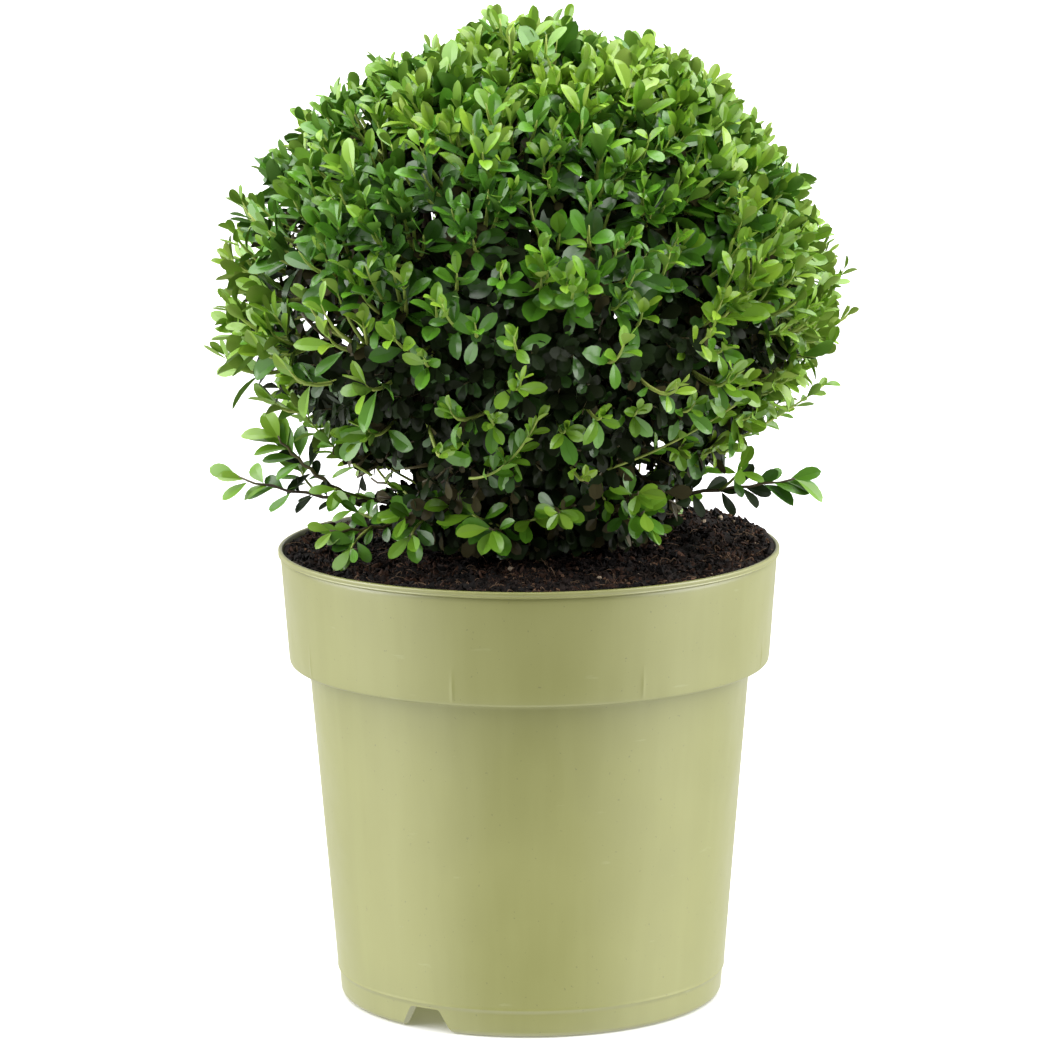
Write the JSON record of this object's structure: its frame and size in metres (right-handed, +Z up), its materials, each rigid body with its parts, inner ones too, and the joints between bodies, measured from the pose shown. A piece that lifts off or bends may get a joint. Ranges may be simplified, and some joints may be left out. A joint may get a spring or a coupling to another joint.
{
  "type": "potted japanese holly ball",
  "caption": "Small-leaved evergreen shrub clipped to a ball, on a short stem in a round tapered plastic pot with a wide rim band and a foot ring with drain notches.",
  "frame": {"origin": "middle of the flat pad on the pot's underside, on the ground", "axes": "+Z up along the pot's axis, -Y towards the picture's camera, +X to its right"},
  "size_m": [0.2873, 0.2859, 0.4548],
  "materials": {
    "pot_plastic": "satin",
    "soil": "matte",
    "bark": "matte",
    "crown_leaves": "satin",
    "low_leaves": "satin"
  },
  "bodies": {
    "root": {"pot": "pot_plastic", "soil": "soil", "trunk": "bark", "bough_1": "bark", "bough_2": "bark", "bough_3": "bark", "bough_4": "bark", "bough_5": "bark", "bough_6": "bark", "low_bough_right": "bark", "low_bough_right_back": "bark", "low_bough_back_right": "bark", "low_bough_back_left": "bark", "low_bough_left_back": "bark", "low_bough_left": "bark", "low_bough_left_low": "bark", "low_bough_front_left": "bark", "low_bough_front": "bark", "low_bough_front_right": "bark", "low_spray_right": "low_leaves", "low_spray_right_back": "low_leaves", "low_spray_back_right": "low_leaves", "low_spray_back_left": "low_leaves", "low_spray_left_back": "low_leaves", "low_spray_left": "low_leaves", "low_spray_left_low": "low_leaves", "low_spray_front_left": "low_leaves", "low_spray_front": "low_leaves", "low_spray_front_right": "low_leaves", "crown": "crown_leaves"}
  },
  "joints": []
}
